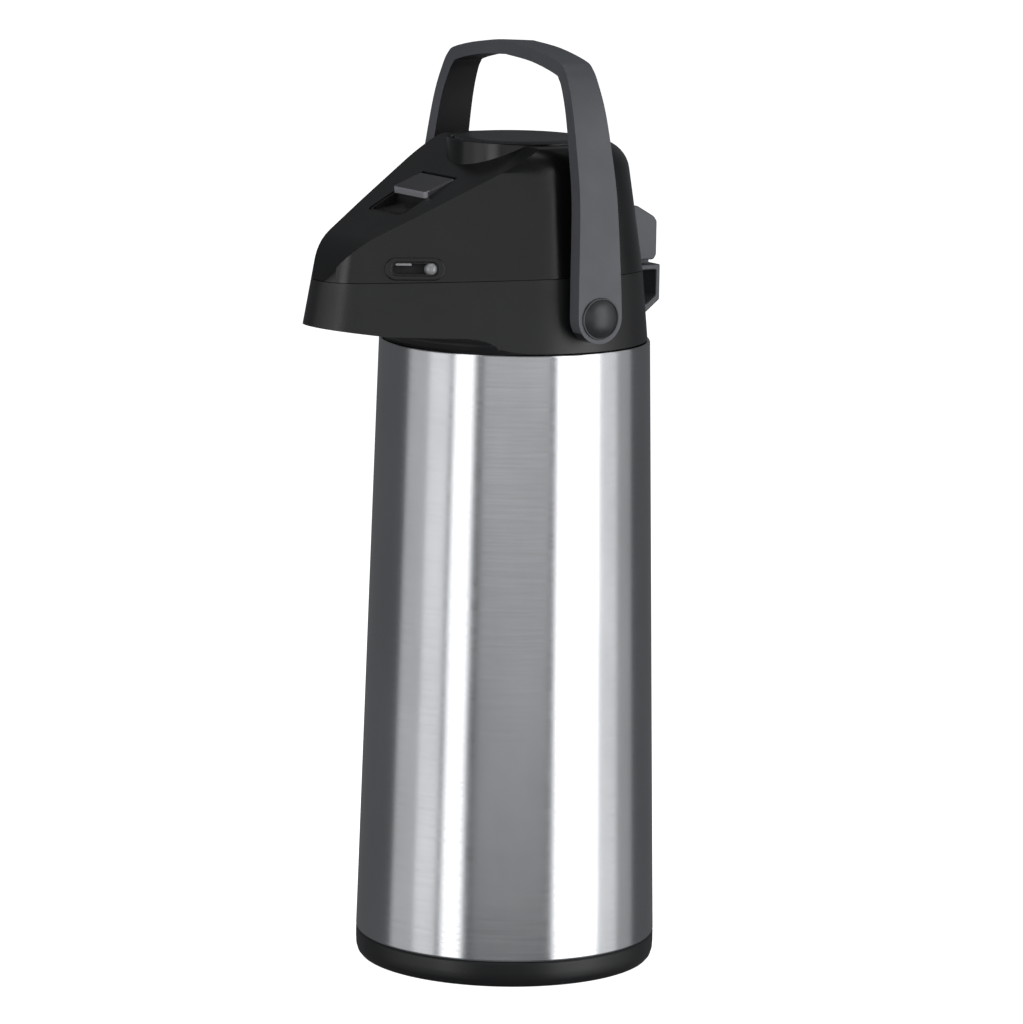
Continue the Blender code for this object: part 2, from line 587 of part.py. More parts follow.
# Outer line of the bail from the right pivot up to the top, as (x, z, width along Y, thickness)
BAIL = (
    (78.0, 320.0, 5.0, ARM_T), (78.0, 321.7, 13.6, ARM_T), (78.0, 325.6, 21.2, ARM_T), (78.0, PIVOT_Z, 24.8, ARM_T),
    (77.2, 350.0, 24.0, ARM_T), (74.7, 388.0, 21.4, 7.8), (69.8, 412.0, 20.0, 7.4), (64.6, 431.0, 18.6, 7.0),
    (59.0, 444.0, 17.0, 7.0), (54.6, 450.4, 16.4, 7.0), (48.0, 454.2, 16.2, 6.6), (25.0, 458.6, 16.0, 6.4),
    (0.0, 460.4, 16.0, 6.4),
)


def bail_section(before, here, after):
    """An eight-sided section square to the bail's line."""
    x, z, width, thick = here
    along = Vector((after[0] - before[0], 0, after[1] - before[1])).normalized()
    if z <= PIVOT_Z:
        along = Vector((0, 0, 1))
    inward = Vector((-along.z, 0, along.x))
    chamfer, half = min(1.6, width / 4), width / 2
    corners = [(0, half - chamfer), (chamfer, half), (thick - chamfer, half), (thick, half - chamfer),
               (thick, chamfer - half), (thick - chamfer, -half), (chamfer, -half), (0, chamfer - half)]
    return [Vector((x, 0, z)) + inward * depth + Vector((0, y, 0)) for depth, y in corners]


def make_handle():
    line = list(BAIL) + [(-x, z, w, t) for x, z, w, t in BAIL[-2::-1]]
    rings = []
    for i, here in enumerate(line):
        before, after = line[max(i - 1, 0)], line[min(i + 1, len(line) - 1)]
        if here[1] <= PIVOT_Z:
            side = 1 if here[0] > 0 else -1
            before, after = (here[0], -side), (here[0], side)
            ring = bail_section(before, here, after)
            if side < 0:
                ring = [Vector((-p.x, p.y, p.z)) for p in bail_section(before, (-here[0], *here[1:]), after)]
        else:
            ring = bail_section(before, here, after)
        rings.append(ring)
    handle = ring_body("handle", rings, SATIN, origin=(0, 0, PIVOT_Z))
    for side, label in ((1, "right"), (-1, "left")):
        inner = PIVOT_X - ARM_T
        cut(handle, bar(f"{label}_pivot_bore", 3.3, (side * (inner - 5), 0, PIVOT_Z),
                        (side * (PIVOT_X + 5), 0, PIVOT_Z)))
        cut(handle, bar(f"{label}_head_recess", 6.4, (side * (inner + 3.6), 0, PIVOT_Z),
                        (side * (PIVOT_X + 5), 0, PIVOT_Z)))
        turn = Matrix.Rotation(side * math.pi / 2, 4, "Y")
        at = Matrix.Translation((0, 0, PIVOT_Z)) @ turn
        pin = [(0.0, 77.2), (5.2, 76.8), (6.0, 75.6), (6.0, inner + 3.9), (3.0, inner + 3.9), (3.0, 58.0),
               (0.0, 58.0)]
        lathe(f"pivot_screw_{label}", pin, STEEL, 16, matrix=at)
        washer(f"hub_spacer_{label}", 3.3, 9.0, 66.0, inner - 1.0, PLASTIC, 20, matrix=at)
        cap = [(0.0, 81.2), (4.5, 80.9), (8.0, 79.9), (10.2, 78.3), (0.0, 78.3)]
        lathe(f"hub_cap_{label}", cap, SATIN, 20, matrix=at)


def main():
    clear_scene()
    make_base()
    make_shell()
    make_liner()
    make_mouth()
    make_siphon()
    make_collar()
    make_catch()
    make_hinge()
    shell = make_lid()
    make_finger_cup(shell)
    make_lever()
    make_lock(shell)
    make_pump()
    make_handle()


main()
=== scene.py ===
"""Looks of the thermal coffee airpot: a fine surface for every piece that shows, and its finishes."""

import json
import math

import bpy
from mathutils import Matrix, Vector

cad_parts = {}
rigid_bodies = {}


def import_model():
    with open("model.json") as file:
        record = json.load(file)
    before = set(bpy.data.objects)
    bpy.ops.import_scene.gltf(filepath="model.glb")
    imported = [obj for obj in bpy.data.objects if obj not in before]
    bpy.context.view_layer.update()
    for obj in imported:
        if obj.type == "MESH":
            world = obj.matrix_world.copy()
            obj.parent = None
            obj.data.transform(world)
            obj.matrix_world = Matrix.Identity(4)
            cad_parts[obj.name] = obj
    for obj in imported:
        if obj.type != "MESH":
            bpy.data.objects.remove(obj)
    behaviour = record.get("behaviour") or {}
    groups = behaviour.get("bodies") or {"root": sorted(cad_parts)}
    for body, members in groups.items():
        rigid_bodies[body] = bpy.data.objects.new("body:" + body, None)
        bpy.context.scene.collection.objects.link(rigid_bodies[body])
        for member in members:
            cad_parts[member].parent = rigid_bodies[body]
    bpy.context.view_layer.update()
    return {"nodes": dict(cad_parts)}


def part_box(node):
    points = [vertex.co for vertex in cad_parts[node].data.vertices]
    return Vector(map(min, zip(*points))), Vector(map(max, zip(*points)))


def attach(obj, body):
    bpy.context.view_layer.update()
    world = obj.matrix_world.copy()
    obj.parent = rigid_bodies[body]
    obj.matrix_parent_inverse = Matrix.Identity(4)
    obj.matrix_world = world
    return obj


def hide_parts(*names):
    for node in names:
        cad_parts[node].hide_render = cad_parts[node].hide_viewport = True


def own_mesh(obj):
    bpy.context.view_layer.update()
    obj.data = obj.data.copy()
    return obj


for startup in list(bpy.data.objects):
    bpy.data.objects.remove(startup, do_unlink=True)

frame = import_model()
MM = 0.001


def at(node, corner, axis):
    """One coordinate of a node's box, in millimetres: corner 0 is the low one, 1 the high one."""
    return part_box(node)[corner]["xyz".index(axis)] / MM


# Driving dimensions, in millimetres
BASE_R = at("base_ring", 1, "x")
SHELL_R = at("outer_shell", 1, "x")
SHELL_LOW, SHELL_HIGH = at("outer_shell", 0, "z"), at("outer_shell", 1, "z")
SHELL_TOP_R = 67.3
COLLAR_LOW = at("collar", 0, "z")
FOOT_R, SEAM, SEAM_R, SEAM_ARCH = 66.0, 347.6, 63.2, 2.8
SEAM_GAP = 0.15  # from the parting line to each of the two shells
LID_DRAFT, LID_TOP = 0.157, 412.0
TIP_R, TIP_REACH, TIP_DRAFT, TIP_TAPER = 24.0, 112.9, 0.19, 0.08
SLOPE_Y, SLOPE_Z, SLOPE = -25.0, 406.8, 0.5407
FRONT_ROUND = 20.0  # how far the rounding between slope and tip runs along each
WALL = 2.5
CREASE = 32.0  # degrees between two faces from which their edge stays sharp
PLATE_R, PLATE_TOP = at("push_plate", 1, "x"), at("push_plate", 1, "z")
BOSS_R, BOSS_TOP, WELL_R, WELL_LOW = 35.2, 413.0, 32.6, 384.0
HINGE = Vector((0, 71.5, 353.2))
PIVOT_Z, PIVOT_X = 332.1, at("handle", 1, "x")
SPOUT_Y = -97.0
LOCK_Z, LOCK_ALONG = 355.0, 0.30
LID_SCREWS = ((41.5, -19.0), (35.0, 30.0), (-35.0, 30.0), (-41.5, -19.0))


# --- Modelling by hand ---


def leave_edit():
    if bpy.context.mode != "OBJECT":
        bpy.ops.object.mode_set(mode="OBJECT")


def clear_selection():
    leave_edit()
    bpy.ops.object.select_all(action="DESELECT")


def begin(name):
    """Names the primitive just added and opens it for editing."""
    obj = bpy.context.object
    obj.name = obj.data.name = name
    bpy.ops.object.transform_apply(location=True, rotation=True, scale=True)
    bpy.ops.object.mode_set(mode="EDIT")
    bpy.ops.mesh.select_mode(type="VERT")
    return obj


def select_where(obj, kind, test):
    """Selects the vertices or edges for which the test is true, and returns to edit mode."""
    bpy.ops.object.mode_set(mode="EDIT")
    bpy.ops.mesh.select_mode(type=kind)
    bpy.ops.mesh.select_all(action="DESELECT")
    bpy.ops.object.mode_set(mode="OBJECT")
    mesh = obj.data
    places = [v.co / MM for v in mesh.vertices]
    if kind == "VERT":
        for vertex, place in zip(mesh.vertices, places):
            vertex.select = test(place)
    else:
        for edge in mesh.edges:
            edge.select = test(*(places[i] for i in edge.vertices))
    bpy.ops.object.mode_set(mode="EDIT")


def draw(name, points, closed=False, fill=False):
    """A line drawn corner by corner, given in millimetres."""
    clear_selection()
    bpy.ops.mesh.primitive_plane_add(size=1 * MM)
    obj = begin(name)
    bpy.ops.mesh.select_all(action="SELECT")
    bpy.ops.mesh.merge(type="CENTER")
    bpy.ops.transform.translate(value=points[0] * MM)
    for here, there in zip(points, points[1:]):
        bpy.ops.mesh.extrude_vertices_move(TRANSFORM_OT_translate={"value": (there - here) * MM})
    bpy.ops.mesh.select_all(action="SELECT")
    if closed or fill:
        bpy.ops.mesh.edge_face_add()
    if closed and not fill:
        bpy.ops.mesh.delete(type="ONLY_FACE")
    return obj


def mend(obj):
    """Joins doubled corners and turns every face outwards."""
    bpy.ops.object.mode_set(mode="EDIT")
    bpy.ops.mesh.select_all(action="SELECT")
    bpy.ops.mesh.remove_doubles(threshold=0.002 * MM)
    bpy.ops.mesh.normals_make_consistent(inside=False)
    leave_edit()
    return obj


def turned(name, profile, centre=(0, 0, 0), axis="Z", steps=128):
    """A piece turned about an axis from a profile of (radius, height) in millimetres."""
    centre = Vector(centre)
    directions = {"Z": (0, 0, 1), "X": (1, 0, 0), "-X": (-1, 0, 0), "-Y": (0, -1, 0)}
    along = Vector(directions[axis])
    out = Vector((1, 0, 0)) if axis == "Z" else Vector((0, 0, 1))
    closed = min(r for r, _ in profile) > 0
    obj = draw(name, [centre + out * r + along * h for r, h in profile], closed=closed)
    bpy.ops.mesh.select_all(action="SELECT")
    bpy.ops.mesh.spin(steps=steps, angle=math.tau, center=centre * MM, axis=along)
    return mend(obj)


def extruded(name, outline, half):
    """A plate of constant outline, given as (y, z), reaching half its width either side of the middle."""
    obj = draw(name, [Vector((-half, y, z)) for y, z in outline], fill=True)
    bpy.ops.mesh.select_all(action="SELECT")
    bpy.ops.mesh.extrude_region_move(TRANSFORM_OT_translate={"value": (2 * half * MM, 0, 0)})
    return mend(obj)


def apply_modifiers(obj):
    clear_selection()
    bpy.context.view_layer.objects.active = obj
    obj.select_set(True)
    for modifier in list(obj.modifiers):
        bpy.ops.object.modifier_apply(modifier=modifier.name)


def combine(obj, other, how="DIFFERENCE"):
    modifier = obj.modifiers.new(how, "BOOLEAN")
    modifier.operation, modifier.solver, modifier.object = how, "EXACT", other
    apply_modifiers(obj)
    bpy.data.objects.remove(other, do_unlink=True)
    return obj


def soften(obj, width, segments=3, angle=30.0):
    """Rounds the sharp edges."""
    bevel = obj.modifiers.new("round", "BEVEL")
    bevel.width, bevel.segments = width * MM, segments
    bevel.limit_method, bevel.angle_limit = "ANGLE", math.radians(angle)
    bevel.miter_outer = "MITER_ARC"
    apply_modifiers(obj)
    return obj


def soften_where(obj, width, test, segments=4):
    """Rounds the edges for which the test of both end points is true."""
    select_where(obj, "EDGE", test)
    bpy.ops.mesh.bevel(offset=width * MM, segments=segments, affect="EDGES", clamp_overlap=True)
    leave_edit()
    return obj


def finish(obj, look, body, *nodes, slot):
    """Smooth shading, finish, body and the nodes that the piece stands for."""
    clear_selection()
    bpy.context.view_layer.objects.active = obj
    obj.select_set(True)
    bpy.ops.object.shade_smooth_by_angle(angle=math.radians(CREASE))
    even = obj.modifiers.new("even", "WEIGHTED_NORMAL")
    even.keep_sharp, even.weight = True, 80
    apply_modifiers(obj)
    obj.data.materials.clear()
    obj.data.materials.append(look)
    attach(obj, body)
    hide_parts(*nodes)
    return obj


# --- Finishes ---


class Looks:
    """One node material, built step by step."""

    def __init__(self, name, colour, roughness, metallic=0.0, coat=0.0):
        self.material = bpy.data.materials.new(name)
        self.material.use_nodes = True
        self.tree = self.material.node_tree
        self.shader = self.tree.nodes["Principled BSDF"]
        self.shader.inputs["Base Color"].default_value = (*colour, 1.0)
        self.shader.inputs["Roughness"].default_value = roughness
        self.shader.inputs["Metallic"].default_value = metallic
        self.shader.inputs["Coat Weight"].default_value = coat
        self.place = self.node("ShaderNodeTexCoord").outputs["Object"]
        self.colour, self.roughness = colour, roughness
        self.height = None

    def node(self, kind, **settings):
        made = self.tree.nodes.new(kind)
        for key, value in settings.items():
            setattr(made, key, value)
        return made

    def noise(self, scale, detail=3.0, stretch=(1, 1, 1)):
        """Noise on the object's own coordinates; scale is in features per metre."""
        place = self.node("ShaderNodeMapping")
        place.inputs["Scale"].default_value = stretch
        self.tree.links.new(self.place, place.inputs["Vector"])
        made = self.node("ShaderNodeTexNoise")
        made.inputs["Scale"].default_value = scale
        made.inputs["Detail"].default_value = detail
        self.tree.links.new(place.outputs["Vector"], made.inputs["Vector"])
        return made.outputs["Fac"]

    def ramp(self, source, low, high, start=0.3, stop=0.7):
        made = self.node("ShaderNodeMapRange")
        for key, value in (("From Min", start), ("From Max", stop), ("To Min", low), ("To Max", high)):
            made.inputs[key].default_value = value
        self.tree.links.new(source, made.inputs["Value"])
        return made.outputs["Result"]

    def vary_roughness(self, source, by):
        spread = self.ramp(source, self.roughness - by, self.roughness + by)
        self.tree.links.new(spread, self.shader.inputs["Roughness"])

    def vary_colour(self, source, darker, lighter):
        mix = self.node("ShaderNodeMix", data_type="RGBA")
        mix.inputs["A"].default_value = (*(c * darker for c in self.colour), 1.0)
        mix.inputs["B"].default_value = (*(c * lighter for c in self.colour), 1.0)
        self.tree.links.new(self.ramp(source, 0.0, 1.0), mix.inputs["Factor"])
        self.tree.links.new(mix.outputs["Result"], self.shader.inputs["Base Color"])

    def bump(self, source, strength, distance):
        made = self.node("ShaderNodeBump")
        made.inputs["Strength"].default_value = strength
        made.inputs["Distance"].default_value = distance
        self.tree.links.new(source, made.inputs["Height"])
        if self.height:
            self.tree.links.new(self.height, made.inputs["Normal"])
        self.height = made.outputs["Normal"]
        self.tree.links.new(self.height, self.shader.inputs["Normal"])


def moulded(name, colour, roughness, grain=0.15, coat=0.0):
    """Moulded plastic: a fine spark-eroded grain, slight flow marks and patches of handling gloss."""
    look = Looks(name, colour, roughness, coat=coat)
    look.vary_colour(look.noise(18, 4), 0.85, 1.2)
    look.vary_roughness(look.noise(45, 5), 0.05)
    look.bump(look.noise(14, 2), 0.05, 0.002)
    look.bump(look.noise(2600, 2), grain, 0.0001)
    return look.material


def brushed_steel():
    """Stainless sheet with fine brushing round the body, faint waviness and a few soft smudges."""
    look = Looks("brushed_steel", (0.66, 0.67, 0.69), 0.24, metallic=1.0)
    look.vary_colour(look.noise(26, 5, (1, 1, 0.5)), 0.93, 1.05)
    look.vary_roughness(look.noise(900, 3, (0.03, 0.03, 1)), 0.03)
    look.bump(look.noise(10, 2, (1, 1, 0.35)), 0.05, 0.004)
    look.bump(look.noise(1500, 3, (0.02, 0.02, 1)), 0.02, 0.0001)
    look.shader.inputs["Anisotropic"].default_value = 0.75
    look.shader.inputs["Anisotropic Rotation"].default_value = 0.25
    tangent = look.node("ShaderNodeTangent", direction_type="RADIAL", axis="Z")
    look.tree.links.new(tangent.outputs["Tangent"], look.shader.inputs["Tangent"])
    return look.material


def bright_metal(name, colour, roughness):
    look = Looks(name, colour, roughness, metallic=1.0)
    look.vary_colour(look.noise(220, 3), 0.85, 1.05)
    look.vary_roughness(look.noise(700, 3), 0.07)
    look.bump(look.noise(1800, 2), 0.08, 0.0001)
    return look.material


def rubber(name, colour, roughness):
    look = Looks(name, colour, roughness)
    look.vary_colour(look.noise(120, 4), 0.85, 1.1)
    look.vary_roughness(look.noise(300, 3), 0.08)
    look.bump(look.noise(1400, 3), 0.2, 0.0001)
    return look.material


def silvered_glass():
    look = Looks("silvered_glass", (0.8, 0.82, 0.84), 0.06, metallic=0.9, coat=1.0)
    look.vary_colour(look.noise(40, 4), 0.9, 1.03)
    look.vary_roughness(look.noise(60, 3), 0.03)
    look.bump(look.noise(22, 2), 0.1, 0.002)
    return look.material


STEEL = brushed_steel()
BLACK = moulded("satin_black_plastic", (0.012, 0.0125, 0.0135), 0.36)
GLOSS = moulded("gloss_black_plastic", (0.006, 0.0063, 0.0068), 0.24, grain=0.03)
SATIN = moulded("handle_charcoal_plastic", (0.088, 0.092, 0.104), 0.46, grain=0.3)
# Painted shade: a much darker copy of the handle plastic, for the bail's faces that sit in shade
PAINTED_SHADE = moulded("handle_painted_shade", (0.012, 0.012, 0.014), 0.5, grain=0.3)
# Painted highlight: a pale grey that stands in for the light caught along the lever's lip
LIP_HIGHLIGHT = moulded("lever_lip_painted_highlight", (0.26, 0.26, 0.28), 0.25, grain=0.1)
LEVER = moulded("lever_grey_plastic", (0.045, 0.045, 0.052), 0.28, grain=0.1)
BUTTON = moulded("button_grey_plastic", (0.028, 0.031, 0.033), 0.33, grain=0.2)
DEEP = moulded("recess_black_plastic", (0.006, 0.006, 0.007), 0.5, grain=0.2)
CHROME = bright_metal("bright_steel", (0.62, 0.62, 0.63), 0.22)
# The slider knob's own grey, also used for the painted highlight streak in the lock's slot
PEARL = moulded("slider_grey_and_streak_highlight", (0.35, 0.36, 0.37), 0.18, grain=0.05, coat=0.5)
GLASS = silvered_glass()
SILICONE = rubber("white_silicone", (0.55, 0.55, 0.52), 0.5)
NATURAL = moulded("natural_plastic", (0.62, 0.62, 0.59), 0.4)


# --- The wedge shape that the collar and the lid share ---


def body_radius(z):
    if z < SEAM:
        return FOOT_R - (z - COLLAR_LOW) * (FOOT_R - SEAM_R) / (SEAM - COLLAR_LOW)
    return SEAM_R - LID_DRAFT * (z - SEAM)


def tip_radius(z):
    return TIP_R - TIP_TAPER * (z - SEAM)


def tip_centre(z):
    return TIP_REACH - tip_radius(z) - TIP_DRAFT * (z - SEAM)


def slope_z(y):
    return SLOPE_Z + SLOPE * (y - SLOPE_Y)


def front_planes(inset=0.0):
    """Point and normal, as (y, z), of the sloping front and of the planes that round it into the tip."""
    facets = 11
    slope, wall = math.atan(SLOPE), math.pi / 2 - math.atan(TIP_DRAFT)
    y = (-TIP_REACH - TIP_DRAFT * (SEAM - SLOPE_Z + SLOPE * SLOPE_Y)) / (1 - TIP_DRAFT * SLOPE)
    corner = Vector((y, slope_z(y)))
    radius = FRONT_ROUND / math.tan((wall - slope) / 2)
    along = Vector((math.cos(slope), math.sin(slope)))
    centre = corner + along * FRONT_ROUND - Vector((-along.y, along.x)) * radius
    planes = []
    for i in range(facets):
        a = slope + (wall - slope) * i / facets
        normal = Vector((-math.sin(a), math.cos(a)))
        planes.append((centre + normal * (radius - inset), normal))
    return planes


def cut_front(obj, inset=0.0):
    bpy.context.view_layer.objects.active = obj
    bpy.ops.object.mode_set(mode="EDIT")
    for place, normal in front_planes(inset):
        bpy.ops.mesh.select_all(action="SELECT")
        bpy.ops.mesh.bisect(plane_co=(0, place.x * MM, place.y * MM), plane_no=(0, normal.x, normal.y),
                            use_fill=True, clear_outer=True)
    leave_edit()


def hull(name, circles, corners):
    """The convex body round level circles of (radius, y, z)."""
    clear_selection()
    for k, (r, y, z) in enumerate(circles):
        bpy.ops.mesh.primitive_circle_add(vertices=corners, radius=r * MM, location=(0, y * MM, z * MM))
        if not k:
            obj = begin(name)
    bpy.ops.mesh.select_all(action="SELECT")
    bpy.ops.mesh.convex_hull()
    bpy.ops.mesh.select_all(action="SELECT")
    bpy.ops.mesh.dissolve_limited(angle_limit=math.radians(0.4))
    leave_edit()
    return mend(obj)


def section(z, inset=0.0):
    """The two circles that the wedge's outline runs round at a height."""
    return [(body_radius(z) - inset, 0.0, z), (tip_radius(z) - inset, -tip_centre(z), z)]


def wedge(name, low, high, inset=0.0, corners=256):
    return hull(name, section(low, inset) + section(high, inset), corners)


def rounded_top(round_by, high, inset=0.0):
    """Circles that round the body's shoulder over, more behind than in front."""
    low, rows = high - round_by, 9
    narrower, forward = 0.72, 0.28  # how the rounding is shared between the radius and the centre
    circles = []
    for i in range(1, rows + 1):
        a = math.pi / 2 * i / rows
        z = low + round_by * math.sin(a)
        back = round_by * (1 - math.cos(a))
        circles.append((body_radius(z) - inset - narrower * back, -forward * back, z))
    return circles


def seam_roller(name, gap):
    """A wide cylinder across the part whose lowest line is the parting line, arched up at both sides."""
    radius = (SEAM_R ** 2 + SEAM_ARCH ** 2) / (2 * SEAM_ARCH) - gap
    clear_selection()
    bpy.ops.mesh.primitive_cylinder_add(
        vertices=1024, radius=radius * MM, depth=400 * MM, rotation=(math.pi / 2, 0, 0),
        location=(0, 0, (SEAM + gap + radius) * MM))
    obj = begin(name)
    leave_edit()
    return obj


# --- Body ---


def steel_sleeve():
    low, high = SHELL_LOW, SHELL_HIGH
    profile = [(SHELL_TOP_R - 1.6, high), (SHELL_TOP_R - 0.5, high), (SHELL_TOP_R, high - 0.9)]
    rows = 10
    for i in range(1, rows):
        t = i / rows
        profile.append((SHELL_TOP_R + t * (SHELL_R - SHELL_TOP_R), high - t * (high - low)))
    profile += [(SHELL_R, low + 1.0), (SHELL_R - 0.5, low), (SHELL_R - 7.0, low), (SHELL_R - 7.0, low + 0.8),
                (SHELL_R - 0.9, low + 1.4), (SHELL_TOP_R - 0.8, high - 1.6), (SHELL_TOP_R - 1.6, high - 0.8)]
    obj = turned("steel_sleeve", profile, steps=192)
    finish(obj, STEEL, "body", "outer_shell", slot="steel_shell")


def base():
    r, top = BASE_R, at("base_ring", 1, "z")
    ring = [(r - 4.0, 0.0), (r - 2.2, 0.5), (r - 1.0, 1.9), (r - 0.2, 4.5), (r, 8.0), (r, top - 0.7),
            (r - 0.7, top), (64.5, top), (64.5, 6.0), (62.0, 6.0), (62.0, 0.0)]
    obj = turned("foot_ring", ring, steps=192)
    finish(obj, BLACK, "body", "base_ring", slot="black_plastic")
    plate = [(0.0, 5.0), (61.7, 5.0), (61.7, 0.0), (52.0, 0.0), (51.0, 1.5), (46.0, 1.5), (45.0, 0.0),
             (0.0, 0.0)]
    obj = soften(turned("bottom_plate", plate), 0.4, 2)
    finish(obj, BLACK, "body", "base_plate", slot="black_plastic")


def collar():
    """The wedge, its underside turned away below the beak, hollow and cut along the arched parting line."""
    obj = wedge("collar_shell", COLLAR_LOW, SEAM + 6.0)
    soften_where(obj, 0.8, lambda a, b: max(a.z, b.z) < COLLAR_LOW + 0.1, 3)
    beak_low, fillet, rows = 322.4, 5.0, 6
    mushroom = [(0.0, COLLAR_LOW - 0.5), (FOOT_R - 0.4, COLLAR_LOW - 0.5), (FOOT_R, COLLAR_LOW + 0.9)]
    for i in range(rows + 1):
        a = math.pi / 2 * i / rows
        reach = FOOT_R + 1.5 + fillet * (1 - math.cos(a))
        mushroom.append((reach, beak_low - 0.9 - fillet + fillet * math.sin(a)))
    mushroom += [(96.0, beak_low), (118.0, beak_low + 3.3), (140.0, beak_low + 6.0), (140.0, 360.0),
                 (0.0, 360.0)]
    combine(obj, turned("turning", mushroom, steps=192), "INTERSECT")
    combine(obj, seam_roller("parting", -SEAM_GAP))
    hollow = wedge("hollow", COLLAR_LOW + 12.0, SEAM + 8.0, WALL, 96)
    combine(obj, hollow)
    well = [(0.0, COLLAR_LOW - 2), (34.0, COLLAR_LOW - 2), (34.0, COLLAR_LOW + 3), (58.0, COLLAR_LOW + 3),
            (58.0, COLLAR_LOW + 14), (0.0, COLLAR_LOW + 14)]
    combine(obj, turned("well", well, steps=96))
    spout_way = [(0, 310), (7.9, 310), (7.9, 335), (0, 335)]
    combine(obj, turned("spout_way", spout_way, (0, SPOUT_Y, 0), steps=48))
    finish(obj, BLACK, "body", "collar", slot="black_plastic")


def lid():
    """The wedge with its sloping front and rounded shoulder, the button's boss and well, and the openings."""
    shoulder = 13.0
    fade_from, fade_over = 22.0, 14.0  # the rounding of the slope's rim grows above this height over the seam
    walls = section(SEAM - 3.0) + section(LID_TOP - shoulder)
    obj = hull("lid_cover", walls + rounded_top(shoulder, LID_TOP), 256)
    cut_front(obj)
    point, normal = front_planes()[0]

    def on_slope(place):
        return abs(normal.dot(Vector((place.y, place.z)) - point)) < 0.02

    weights = obj.data.attributes.new("bevel_weight_edge", "FLOAT", "EDGE")
    for edge in obj.data.edges:
        a, b = (obj.data.vertices[i].co / MM for i in edge.vertices)
        if on_slope(a) and on_slope(b) and abs(a.y - b.y) + abs(a.z - b.z) > 0.01:
            grown = (min(a.z, b.z) - SEAM - fade_from) / fade_over
            weights.data[edge.index].value = min(max(grown, 0.0), 1.0)
    bevel = obj.modifiers.new("slope edge", "BEVEL")
    bevel.limit_method, bevel.width, bevel.segments = "WEIGHT", 2.4 * MM, 4
    apply_modifiers(obj)
    boss = [(0.0, 380.0), (BOSS_R + 0.6, 380.0), (BOSS_R, BOSS_TOP - 1.0), (BOSS_R - 0.3, BOSS_TOP - 0.3),
            (BOSS_R - 1.0, BOSS_TOP), (0.0, BOSS_TOP)]
    combine(obj, turned("boss", boss), "UNION")
    combine(obj, seam_roller("parting", SEAM_GAP), "INTERSECT")
    walls = section(SEAM - 6.0, WALL) + section(LID_TOP - shoulder, WALL)
    hollow = hull("hollow", walls + rounded_top(shoulder - 2.0, LID_TOP - 3.0, WALL), 96)
    cut_front(hollow, WALL)
    keep = turned("keep", [(0.0, 370.0), (WELL_R + 2.2, 370.0), (WELL_R + 2.2, 420.0), (0.0, 420.0)])
    combine(hollow, keep)
    combine(obj, hollow)
    well = [(0.0, WELL_LOW - 20), (WELL_R, WELL_LOW - 20), (WELL_R, BOSS_TOP - 0.8),
            (WELL_R + 0.8, BOSS_TOP + 0.2), (WELL_R + 0.8, BOSS_TOP + 3), (0.0, BOSS_TOP + 3)]
    combine(obj, turned("well", well))
    combine(obj, opening("lever_way", -76.5, -44.2, 16.3, 350, 420))
    combine(obj, lozenge("slot", 21.5, 5.2, -6, 5, flank()))
    finish(obj, GLOSS, "lid", "lid_shell", slot="gloss_black")


def opening(name, front, back, half, low, high, corner=3.5):
    """An upright prism with its two front corners rounded."""
    clear_selection()
    bpy.ops.mesh.primitive_cube_add(size=1, location=(0, (front + back) / 2 * MM, (low + high) / 2 * MM),
                                    scale=(2 * half * MM, (back - front) * MM, (high - low) * MM))
    obj = begin(name)
    soften_where(obj, corner, lambda a, b: abs(a.z - b.z) > 1 and a.y < (front + back) / 2, 6)
    return obj


# --- Release lever and lock ---


def finger_scoop():
    """The dark tray under the lever's lip."""
    front, back, half, wall, rise = -76.1, -58.8, 15.9, 1.4, 24.0
    rim, hollow, depth = 0.6, 8.0, 10.0  # below the sloping front
    low = slope_z(front) - rise
    obj = opening("finger_scoop", front, back, half, low, slope_z(back), 3.2)
    inner = opening("scooped", front + wall, back - wall, half - wall, low, slope_z(back) + 9, 2.4)
    for piece, top, bottom in ((obj, rim, depth), (inner, None, hollow)):
        bpy.context.view_layer.objects.active = piece
        bpy.ops.object.mode_set(mode="EDIT")
        bpy.ops.mesh.select_all(action="SELECT")
        if top:
            bpy.ops.mesh.bisect(plane_co=(0, SLOPE_Y * MM, (SLOPE_Z - top) * MM), plane_no=(0, -SLOPE, 1),
                                use_fill=True, clear_outer=True)
            bpy.ops.mesh.select_all(action="SELECT")
        bpy.ops.mesh.bisect(plane_co=(0, SLOPE_Y * MM, (SLOPE_Z - bottom) * MM), plane_no=(0, -SLOPE, 1),
                            use_fill=True, clear_inner=True)
        leave_edit()
    soften_where(inner, 2.2, lambda a, b: max(abs(p.z - slope_z(p.y) + hollow) for p in (a, b)) < 0.05, 5)
    combine(obj, inner)
    finish(soften(obj, 0.3, 2, 40), DEEP, "lid", "finger_cup", slot="black_plastic")


